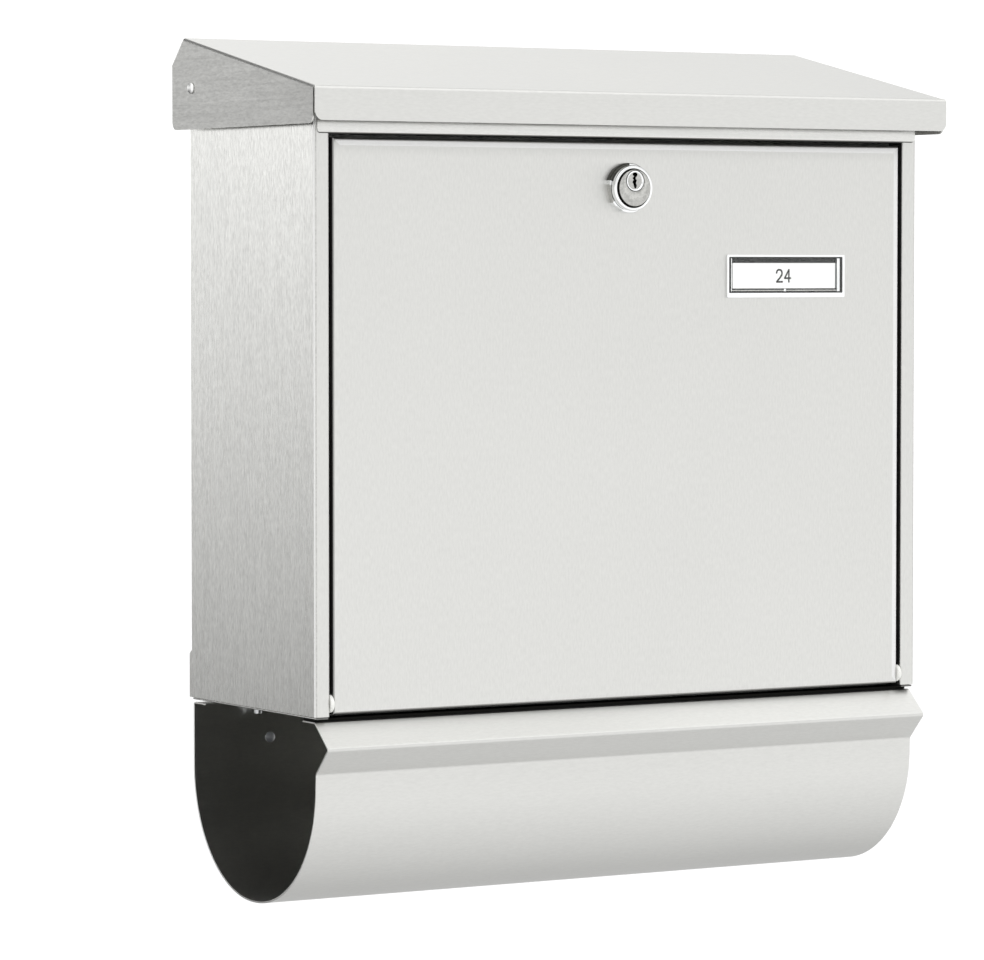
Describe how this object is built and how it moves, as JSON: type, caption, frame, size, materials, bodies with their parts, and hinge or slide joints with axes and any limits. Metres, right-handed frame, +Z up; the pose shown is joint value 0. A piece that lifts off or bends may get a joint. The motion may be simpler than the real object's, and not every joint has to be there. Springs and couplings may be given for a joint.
{
  "type": "wall mounted mailbox",
  "caption": "Folded stainless steel wall mailbox with a lifting rain lid, a bottom-hinged front door with cam lock and name plate, and an open-ended newspaper tray below.",
  "frame": {"origin": "centre of the box's four wall fixing points, on the wall plane behind the spacers", "axes": "+X to the right seen from the front, +Y into the wall, +Z up; the door faces -Y"},
  "size_m": [0.3668, 0.1507, 0.418],
  "materials": {
    "stainless_sheet": "fine brushed, satin",
    "plated_hardware": "zinc plated, dull",
    "chrome_trim": "polished",
    "white_nylon": "moulded, satin",
    "grey_plastic": "moulded, matte",
    "clear_window": "clear polished",
    "name_card": "matte"
  },
  "bodies": {
    "housing": {"left_side_panel": "stainless_sheet", "right_side_panel": "stainless_sheet", "back_panel": "stainless_sheet", "bottom_panel": "stainless_sheet", "top_panel": "stainless_sheet", "newspaper_tray": "stainless_sheet", "tray_screw_left": "plated_hardware", "tray_screw_right": "plated_hardware", "tray_nut_left": "plated_hardware", "tray_nut_right": "plated_hardware", "wall_spacer_lower_left": "grey_plastic", "wall_spacer_lower_right": "grey_plastic", "wall_spacer_upper_left": "grey_plastic", "wall_spacer_upper_right": "grey_plastic", "tray_spacer_left": "grey_plastic", "tray_spacer_right": "grey_plastic", "lid_pivot_pin_left": "chrome_trim", "lid_pivot_pin_right": "chrome_trim", "lid_pivot_spacer_left": "white_nylon", "lid_pivot_spacer_right": "white_nylon", "lid_pivot_clip_left": "plated_hardware", "lid_pivot_clip_right": "plated_hardware", "door_hinge_pin_left": "plated_hardware", "door_hinge_pin_right": "plated_hardware", "door_hinge_bush_left": "white_nylon", "door_hinge_bush_right": "white_nylon", "door_hinge_clip_left": "plated_hardware", "door_hinge_clip_right": "plated_hardware"},
    "lid": {"lid": "stainless_sheet"},
    "door": {"door_panel": "stainless_sheet", "lock_rosette": "chrome_trim", "lock_body": "chrome_trim", "lock_nut": "plated_hardware", "nameplate_frame": "chrome_trim", "nameplate_window": "clear_window", "nameplate_card": "name_card", "nameplate_holder": "grey_plastic"},
    "lock": {"lock_plug": "chrome_trim", "lock_cam": "plated_hardware", "cam_screw": "plated_hardware"}
  },
  "joints": [
    {"name": "lid_hinge", "type": "hinge", "parent": "housing", "child": "lid", "pos_m": [0, -0.0267, 0.1435], "axis": [-1, 0, 0], "range_deg": [0, 55]},
    {"name": "door_hinge", "type": "hinge", "parent": "housing", "child": "door", "pos_m": [0, -0.1323, -0.149], "axis": [1, 0, 0], "range_deg": [0, 135]},
    {"name": "lock_turn", "type": "hinge", "parent": "door", "child": "lock", "pos_m": [0, -0.129, 0.0984], "axis": [0, 1, 0], "range_deg": [0, 90]}
  ]
}
